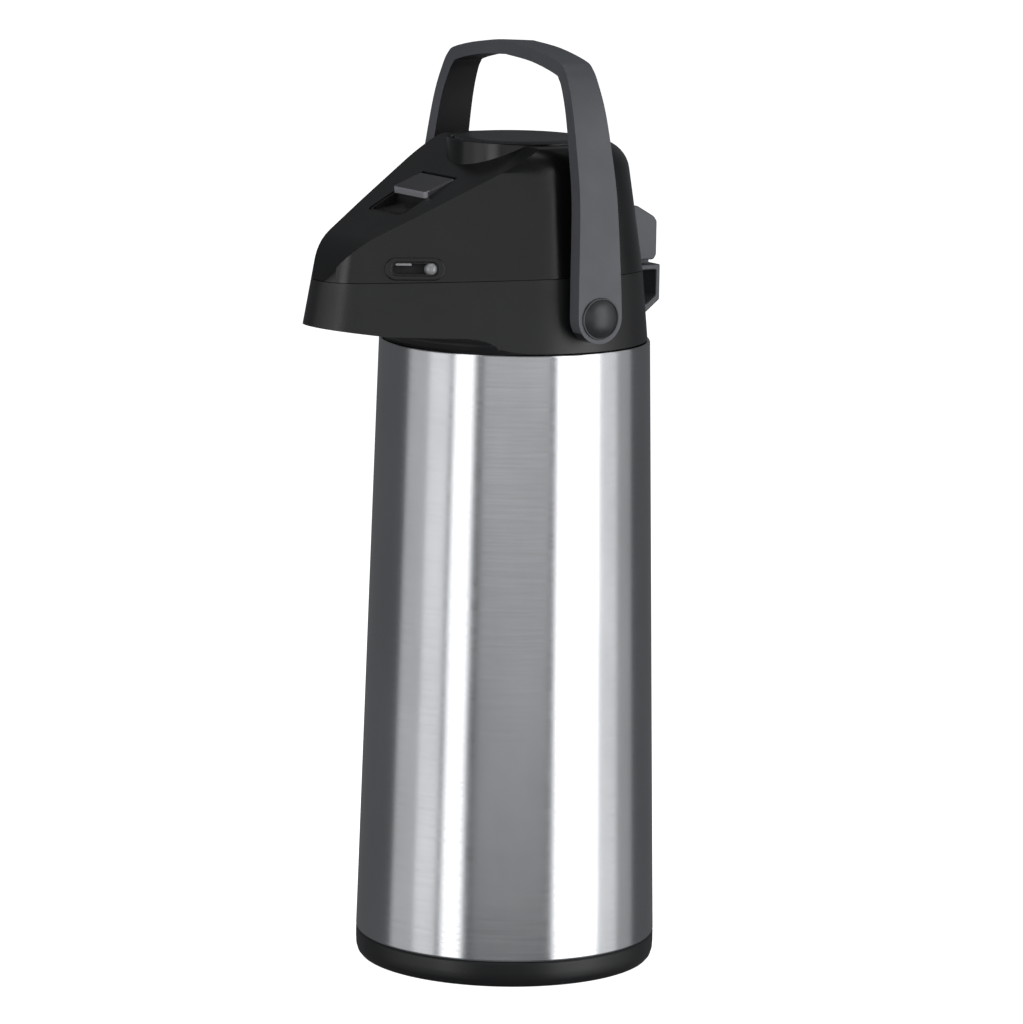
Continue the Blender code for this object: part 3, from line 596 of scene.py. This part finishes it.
def lever():
    """Thumb tab with a raised lip, and the hook under it; the lip's front faces get a pale painted highlight.
    """
    lip, tail, half = -62.0, -45.8, 15.8
    tab = [(lip - 0.4, slope_z(lip) + 2.8), (lip, slope_z(lip) - 0.6), (lip + 4, slope_z(lip + 4) - 1.4),
           (tail, slope_z(tail) - 2.2), (tail, slope_z(tail) + 0.2), (-50.0, slope_z(-50.0) + 1.2)]
    obj = extruded("thumb_lever", tab, half)
    soften_where(obj, 2.6, lambda a, b: abs(a.x - b.x) < 1 and max(a.y, b.y) < lip + 0.5, 4)
    soften(obj, 0.6, 3, 25)
    hook = [(-50.5, 391.5), (-53.8, 388.0), (-60.6, 344.0), (-60.6, 340.6), (-53.0, 340.6), (-53.0, 343.4),
            (-57.8, 343.8), (-51.2, 385.0), (-44.9, 385.4), (-44.9, 391.5)]
    combine(obj, extruded("hook", hook, 4.0), "UNION")
    finish(obj, LEVER, "release", "release_lever", slot="gloss_black")
    # Painted highlight: the lip's raised front faces get the pale grey so they read as a lit edge
    obj.data.materials.append(LIP_HIGHLIGHT)
    for face in obj.data.polygons:
        place = face.center / MM
        raised = place.y < lip + 2 and place.z > slope_z(place.y) + 0.4
        face.material_index = int(face.normal.y < -0.3 and raised)


def flank():
    """Placing matrix on the right flank: X forward along it, Y up the wall, Z outwards, in millimetres."""
    def point(t, z):
        lean = math.asin((body_radius(z) - tip_radius(z)) / tip_centre(z))
        c, s = math.cos(lean), math.sin(lean)
        start = Vector((tip_radius(z) * c, -tip_centre(z) - tip_radius(z) * s, z))
        return start.lerp(Vector((body_radius(z) * c, -body_radius(z) * s, z)), t)

    place = point(LOCK_ALONG, LOCK_Z)
    forward = (point(0, LOCK_Z) - place).normalized()
    up = point(LOCK_ALONG, LOCK_Z + 4) - place
    up = (up - up.dot(forward) * forward).normalized()
    out = up.cross(forward)
    return Matrix.Translation(place) @ Matrix((forward, up, out)).transposed().to_4x4()


def lozenge(name, length, width, low, high, place):
    """A flat bar with round ends, laid on the flank."""
    clear_selection()
    bpy.ops.mesh.primitive_cylinder_add(vertices=64, radius=width / 2 * MM, depth=(high - low) * MM,
                                        location=(0, 0, (low + high) / 2 * MM))
    obj = begin(name)
    for side in (-1, 1):
        select_where(obj, "VERT", lambda p, s=side: p.x * s > 0.001)
        bpy.ops.transform.translate(value=(side * (length - width) / 2 * MM, 0, 0))
    leave_edit()
    set_down(obj, place)
    return obj


def set_down(obj, place):
    """Moves a piece modelled at the origin to its place, and makes that its mesh."""
    clear_selection()
    obj.matrix_world = Matrix.Translation(place.translation * MM) @ place.to_3x3().to_4x4() @ obj.matrix_world
    obj.select_set(True)
    bpy.context.view_layer.objects.active = obj
    bpy.ops.object.transform_apply(location=True, rotation=True, scale=True)
    mend(obj)


def lock():
    place = flank()
    obj = lozenge("lock_surround", 29, 11, 0.3, 1.9, place)
    combine(obj, lozenge("cut", 22.8, 6.4, -3, 5, place))
    finish(soften(obj, 0.5, 3), GLOSS, "lid", "lock_bezel", slot="gloss_black")
    knob = [(0.0, 2.9), (1.2, 2.75), (2.2, 2.2), (2.8, 1.3), (2.9, 0.5), (1.5, 0.4), (1.5, -3.0),
            (3.0, -3.0), (3.0, -4.0), (0.0, -4.0)]
    obj = turned("lock_knob", knob, (-7.8, 0, 0), steps=48)
    set_down(obj, place)
    finish(obj, PEARL, "lock", "lock_slider", slot="satin_black")
    finish(lozenge("lock_track", 27, 8, -5.0, -4.4, place), DEEP, "lid", slot="gloss_black")
    # Painted highlight: a pale lozenge in the bezel's slot that stands in for a bright reflected streak
    painted_streak = lozenge("lock_painted_streak", 8, 1.3, -1.4, 0.25, place @ Matrix.Translation((5.5, 2.2, 0)))
    finish(soften(painted_streak, 0.4, 2), PEARL, "lid", slot="gloss_black")


# --- Button and pump ---


def button():
    r, top = PLATE_R, PLATE_TOP
    plate = [(0.0, top - 0.9), (8.0, top - 0.8), (17.0, top - 0.5), (24.0, top - 0.05), (27.0, top),
             (r - 1.4, top - 0.35), (r - 0.4, top - 1.0), (r, top - 2.1), (r, 406.5), (r - 1.8, 406.5),
             (r - 1.8, 410.4), (9.0, 410.4), (9.0, 404.2), (0.0, 404.2)]
    finish(turned("pump_button", plate, steps=160), BUTTON, "push_button", "push_plate", slot="button_grey")


def bellows_and_spring():
    """Pleated bellows and the coil inside it."""
    stroke, wall, pleats, fold = 24.0, 1.2, 6, 4.8
    low, high, outer = at("bellows", 0, "z"), at("bellows", 1, "z"), at("bellows", 1, "x")
    pleat = (high - low) / pleats
    line = [(outer - fold, low)]
    for i in range(pleats):
        line += [(outer, low + (i + 0.5) * pleat), (outer - fold, low + (i + 1) * pleat)]
    obj = turned("pump_bellows", line + [(r - wall, z) for r, z in line[::-1]], steps=96)
    finish(soften(obj, 0.4, 2), SILICONE, "lid", "bellows", slot="silicone")
    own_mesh(obj)

    low, high, outer = at("return_spring", 0, "z"), at("return_spring", 1, "z"), at("return_spring", 1, "x")
    wire, turns, corners, steps = 0.8, 7, 16, 32
    clear_selection()
    bpy.ops.mesh.primitive_circle_add(vertices=corners, radius=wire * MM, rotation=(math.pi / 2, 0, 0),
                                      location=((outer - wire) * MM, 0, (low + wire) * MM))
    obj = begin("coil_spring")
    leave_edit()
    coil = obj.modifiers.new("coil", "SCREW")
    coil.axis, coil.angle, coil.iterations = "Z", math.tau, turns
    coil.steps = coil.render_steps = steps
    coil.screw_offset = (high - low - 2 * wire) / turns * MM
    apply_modifiers(obj)
    bpy.ops.object.mode_set(mode="EDIT")
    bpy.ops.mesh.select_all(action="SELECT")
    bpy.ops.mesh.fill_holes(sides=corners)
    finish(mend(obj), CHROME, "lid", "return_spring", slot="small_steel")
    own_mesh(obj)


# --- Rear hinge ---


def rear_hinge():
    lug = [(62.9, 349.4), (75.4, 349.4), (76.9, 351.8), (76.9, 368.8), (75.2, 371.2), (65.0, 377.0),
           (58.9, 377.0)]
    obj = soften(extruded("rear_lug", lug, 10.0), 1.0, 3, 20)
    combine(obj, extruded("slot", [(82.0, 345.0), (82.0, 360.2), (66.2, 360.2), (64.6, 345.0)], 4.6))
    finish(obj, SATIN, "lid", "hinge_lug", slot="satin_black")
    outer = [(66.6, 320.4), (71.8, 323.4), (79.2, 329.2), (79.2, 347.0), (66.6, 347.0)]
    obj = extruded("rear_bracket", outer, 10.0)
    window = [(68.6, 327.0), (71.4, 327.2), (76.7, 331.4), (76.7, 344.3), (68.6, 344.3)]
    combine(obj, extruded("window", window, 13.0))
    soften(obj, 0.7, 3, 20)
    y, z, r, rows = HINGE.y, HINGE.z, 4.5, 10
    turns = [math.pi * i / rows for i in range(rows + 1)]
    arch = [(y + r * math.cos(a), z + r * math.sin(a)) for a in turns]
    combine(obj, extruded("tongue", [*arch, (y - r, 345.5), (y + r, 345.5)], 4.0), "UNION")
    combine(obj, turned("pin_way", [(0, -14), (1.9, -14), (1.9, 14), (0, 14)], (0, y, z), "X", 24))
    finish(obj, SATIN, "body", "hinge_bracket", slot="black_plastic")


# --- Bail handle ---

# Outer line of the bail from its right foot up to the middle: x, z, width and thickness in millimetres
BAIL = ((77.2, 350.0, 24.0, 8.0), (74.7, 388.0, 21.4, 7.8), (69.8, 412.0, 20.0, 7.4),
        (64.6, 431.0, 18.6, 7.0), (59.0, 444.0, 17.0, 7.0), (54.6, 450.4, 16.4, 7.0),
        (48.0, 454.2, 16.2, 6.6), (25.0, 458.6, 16.0, 6.4), (0.0, 460.4, 16.0, 6.4))


def through(stations, steps=5):
    """More stations on a smooth curve through the given ones."""
    found = []
    for k in range(len(stations) - 1):
        ends = [stations[min(max(k + i, 0), len(stations) - 1)] for i in (-1, 0, 1, 2)]
        for i in range(steps):
            t = i / steps
            weights = (-t + 2 * t * t - t ** 3, 2 - 5 * t * t + 3 * t ** 3,
                       t + 4 * t * t - 3 * t ** 3, t ** 3 - t * t)
            found.append(tuple(sum(w * end[n] for w, end in zip(weights, ends)) / 2 for n in range(4)))
    return found + [stations[-1]]


def bail():
    """A strap bridged from section to section along its outer line, with a low ridge and rounded edges; its
    downward and inward faces get painted shade.
    """
    hub, thick, rows, ridge = 12.4, 8.0, 8, 0.45
    foot = []
    for i in range(1, rows):
        a = math.pi / 2 * i / rows
        foot.append((PIVOT_X, PIVOT_Z - hub * math.cos(a), 2 * hub * math.sin(a), thick))
    half = foot + through([(PIVOT_X, PIVOT_Z, 2 * hub, thick), *BAIL])
    stations = half + [(-x, z, w, t) for x, z, w, t in half[-2::-1]]
    clear_selection()
    for k, (x, z, width, thickness) in enumerate(stations):
        before, after = stations[max(k - 1, 0)], stations[min(k + 1, len(stations) - 1)]
        along = Vector((after[0] - before[0], 0, after[1] - before[1])).normalized()
        if z < PIVOT_Z + 0.1:
            along = Vector((0, 0, 1 if x > 0 else -1))
        inward = Vector((-along.z, 0, along.x))
        middle = Vector((x, 0, z)) + inward * thickness / 2
        bpy.ops.mesh.primitive_plane_add(size=MM)
        if not k:
            obj = begin("bail_handle")
            bpy.ops.mesh.select_all(action="SELECT")
        bpy.ops.transform.resize(value=(thickness, width, 1), center_override=(0, 0, 0))
        lean = -math.atan2(along.x, along.z)
        bpy.ops.transform.rotate(value=lean, orient_axis="Y", center_override=(0, 0, 0))
        bpy.ops.transform.translate(value=middle * MM)
    bpy.ops.mesh.select_all(action="SELECT")
    bpy.ops.mesh.delete(type="ONLY_FACE")
    bpy.ops.mesh.select_all(action="SELECT")
    bpy.ops.mesh.bridge_edge_loops()
    bpy.ops.mesh.select_all(action="SELECT")
    bpy.ops.mesh.fill_holes(sides=4)
    mend(obj)
    outer = [Vector((x, 0, z)) for x, z, _, _ in stations]

    def across_outside(a, b):
        return abs(a.x - b.x) + abs(a.z - b.z) < 0.01 and any(
            abs(a.x - p.x) + abs(a.z - p.z) < 0.05 for p in outer)

    select_where(obj, "EDGE", across_outside)
    bpy.ops.mesh.subdivide(number_cuts=1)
    select_where(obj, "VERT", lambda p: abs(p.y) < 0.01)
    bpy.ops.transform.shrink_fatten(value=ridge * MM)
    leave_edit()
    soften(obj, 1.5, 4, 35)
    way = [(0, 60), (3.3, 60), (3.3, 73.6), (6.4, 73.6), (6.4, 90), (0, 90)]
    for axis in ("X", "-X"):
        combine(obj, turned("pivot_way", way, (0, 0, PIVOT_Z), axis, 48))
    finish(obj, SATIN, "handle", "handle", slot="satin_black")
    # Painted shade: faces turned down or in towards the pot get the darker copy of the handle plastic
    obj.data.materials.append(PAINTED_SHADE)
    for face in obj.data.polygons:
        below = face.normal.z < -0.5
        inwards = face.normal.x * face.center.x < 0 and abs(face.normal.x) > 0.5
        face.material_index = int(below or inwards)


# --- What shows when the lid is open, and small parts ---


def inner_parts():
    low, high = at("inner_deck", 0, "z"), at("inner_deck", 1, "z")
    mouth, rim = 20.5, at("inner_deck", 1, "x")
    deck = [(mouth, low), (mouth, high - 0.3), (30.0, high), (rim, high), (rim, low)]
    finish(turned("funnel_deck", deck), BLACK, "body", "inner_deck", slot="black_plastic")
    low, high = at("lid_base", 0, "z"), at("lid_base", 1, "z")
    obj = wedge("lid_floor", low, high, WALL + 0.7)
    combine(obj, turned("pump_way", [(0, 340), (24.4, 340), (24.4, 360), (0, 360)]))
    combine(obj, opening("hook_way", -76, -50, 6.0, 340, 360, 1.0))
    for x, y in LID_SCREWS:
        combine(obj, turned("screw_way", [(0, 340), (2.0, 340), (2.0, 360), (0, 360)], (x, y, 0), steps=24))
    finish(obj, BLACK, "lid", "lid_base", slot="black_plastic")
    gasket = [(18.5, 339.3), (18.5, 340.7), (26.0, 340.7), (26.0, 339.3)]
    finish(soften(turned("deck_seal", gasket), 0.4, 2), SILICONE, "body", "head_gasket", slot="silicone")
    head = [(0.0, 343.6), (25.8, 343.6), (27.0, 342.6), (27.0, 341.0), (18.0, 341.0), (18.0, 323.5),
            (4.3, 323.5), (4.3, 327.0), (5.6, 328.5), (5.6, 339.5), (0.0, 339.5)]
    obj = turned("siphon_cap", head, steps=96)
    combine(obj, turned("outlet", [(0, -1), (4.0, -1), (4.0, 23), (0, 23)], (0, 0, 331.8), "-Y", 24))
    finish(obj, NATURAL, "body", "siphon_head", slot="natural_plastic")
    pump = [(29.0, 351.4), (29.0, 355.0), (15.0, 355.0), (15.0, 351.2), (3.2, 351.2), (3.2, 349.4),
            (15.0, 349.4), (15.0, 345.8), (23.9, 345.8), (23.9, 351.4)]
    finish(soften(turned("pump_floor", pump), 0.3, 2), BLACK, "lid", "pump_base", slot="black_plastic")
    valve = [(0.0, 353.4), (4.4, 352.4), (4.4, 351.5), (2.6, 351.5), (2.6, 349.1), (11.0, 349.1),
             (11.0, 348.0), (0.0, 348.0)]
    obj = soften(turned("flap_valve", valve, steps=64), 0.25, 2)
    finish(obj, SILICONE, "lid", "air_valve", slot="silicone")
    seal = [(15.4, 343.9), (15.4, 345.5), (23.0, 345.5), (23.0, 343.9)]
    finish(soften(turned("lid_seal", seal), 0.5, 3), SILICONE, "lid", "lid_gasket", slot="silicone")
    nozzle = [(0.0, 338.0), (7.5, 338.0), (7.5, 323.4), (5.0, 323.4), (5.0, 336.0), (0.0, 336.0)]
    obj = soften(turned("beak_nozzle", nozzle, (0, SPOUT_Y, 0), steps=64), 0.5, 3)
    finish(obj, BLACK, "body", "spout_nozzle", slot="black_plastic")


def pivots():
    """Domed caps and bushes on both sides."""
    for side, axis in (("right", "X"), ("left", "-X")):
        centre = (0, 0, PIVOT_Z)
        cap = [(0.0, 81.2), (3.0, 81.0), (5.6, 80.4), (7.6, 79.5), (9.0, 78.6), (9.2, 78.5), (9.6, 78.9),
               (10.0, 78.9), (10.3, 78.5), (10.3, 78.25), (0.0, 78.25)]
        obj = turned("hub_dome_" + side, cap, centre, axis, 96)
        finish(obj, BUTTON, "handle", "hub_cap_" + side, slot="satin_black")
        bush = [(3.3, 66.0), (9.0, 66.0), (9.0, 69.0), (3.3, 69.0)]
        obj = soften(turned("bush_" + side, bush, centre, axis, 64), 0.3, 2)
        finish(obj, BLACK, "pivot_bushes", "hub_spacer_" + side, slot="black_plastic")


def plain_nodes():
    """The hidden pieces keep their shape and get their finish."""
    finishes = {
        CHROME: ("anti_spill_ball", "hinge_pin", "lever_pin", "lever_spring", "dip_tube",
                 "pivot_screw_left", "pivot_screw_right",
                 "collar_screw_1", "collar_screw_2", "collar_screw_3",
                 "lid_screw_1", "lid_screw_2", "lid_screw_3", "lid_screw_4"),
        SILICONE: ("liner_cushion", "neck_gasket"),
        NATURAL: ("mouth_ring", "spout_tube", "dip_tube_foot", "plate_follower"),
        BLACK: ("neck_ring", "latch_catch"),
        GLASS: ("glass_liner",),
    }
    for look, names in finishes.items():
        for name in names:
            node = frame["nodes"][name]
            node.data.materials.clear()
            node.data.materials.append(look)


# --- Studio ---


def studio():
    """White floor, softboxes round the part and a long-lens camera."""
    turn = math.radians(58.0)
    distance, height, pitch, roll, focal = 2.5991, 0.6744, 0.1711, 0.0173, 185.85
    clear_selection()
    bpy.ops.mesh.primitive_plane_add(size=40)
    floor = bpy.context.object
    floor.name = "floor"
    look = Looks("floor", (0.86, 0.86, 0.86), 0.7)
    look.vary_colour(look.noise(0.6, 2), 0.99, 1.01)
    glow = look.shader.inputs
    glow["Emission Color"].default_value, glow["Emission Strength"].default_value = (1, 1, 1, 1), 1.0
    floor.data.materials.append(look.material)
    floor.visible_glossy = floor.visible_diffuse = False

    def softbox(name, side, up, away, width, tall, power, aim=0.22):
        """A light at an angle in degrees to the camera's side (right is positive)."""
        a = turn + math.radians(side)
        light = bpy.data.lights.new(name, "AREA")
        light.shape, light.size, light.size_y, light.energy = "RECTANGLE", width, tall, power
        obj = bpy.data.objects.new(name, light)
        bpy.context.scene.collection.objects.link(obj)
        obj.location = (away * math.sin(a), -away * math.cos(a), up)
        toward = Vector((0, 0, aim)) - obj.location
        obj.rotation_euler = toward.to_track_quat("-Z", "Y").to_euler()
        obj.visible_camera = False

    softbox("right_box", 56, 0.35, 1.5, 1.10, 1.9, 14.5)
    softbox("right_near", 86, 0.35, 1.5, 0.5, 1.9, 2.4)
    softbox("right_far", 105, 0.35, 1.5, 0.5, 1.9, 0.9)
    softbox("left_strip", -41, 0.35, 1.5, 0.46, 1.9, 5.4)
    softbox("left_near", -64, 0.35, 1.5, 0.55, 1.9, 3.0)
    softbox("left_far", -86, 0.35, 1.5, 0.60, 1.9, 1.7)
    softbox("front_fill", 3, 0.5, 2.4, 2.6, 1.6, 7.5)
    softbox("top_box", 20, 2.2, 0.0, 1.6, 1.6, 7)

    bpy.context.scene.view_settings.view_transform = "Standard"
    world = bpy.data.worlds.new("studio")
    bpy.context.scene.world = world
    world.use_nodes = True
    tree = world.node_tree
    path = tree.nodes.new("ShaderNodeLightPath")
    mix = tree.nodes.new("ShaderNodeMix")
    mix.data_type = "RGBA"
    mix.inputs["A"].default_value = (0.10, 0.103, 0.107, 1)
    mix.inputs["B"].default_value = (1.0, 1.0, 1.0, 1)
    tree.links.new(path.outputs["Is Camera Ray"], mix.inputs["Factor"])
    tree.links.new(mix.outputs["Result"], tree.nodes["Background"].inputs["Color"])

    camera = bpy.data.objects.new("camera", bpy.data.cameras.new("camera"))
    bpy.context.scene.collection.objects.link(camera)
    bpy.context.scene.camera = camera
    camera.data.lens, camera.data.sensor_width = focal, 36.0
    forward = Vector((-math.sin(turn) * math.cos(pitch), math.cos(turn) * math.cos(pitch), -math.sin(pitch)))
    right = Vector((math.cos(turn), math.sin(turn), 0))
    up = right.cross(forward)
    level_right = right + roll * up
    level_up = up - roll * right
    place = Matrix((level_right.normalized(), level_up.normalized(), -forward)).transposed().to_4x4()
    place.translation = (distance * math.sin(turn), -distance * math.cos(turn), height)
    camera.matrix_world = place
    camera.data.clip_end = 200


def main():
    steel_sleeve()
    base()
    collar()
    lid()
    finger_scoop()
    lever()
    lock()
    button()
    bellows_and_spring()
    rear_hinge()
    bail()
    inner_parts()
    pivots()
    plain_nodes()
    studio()


main()
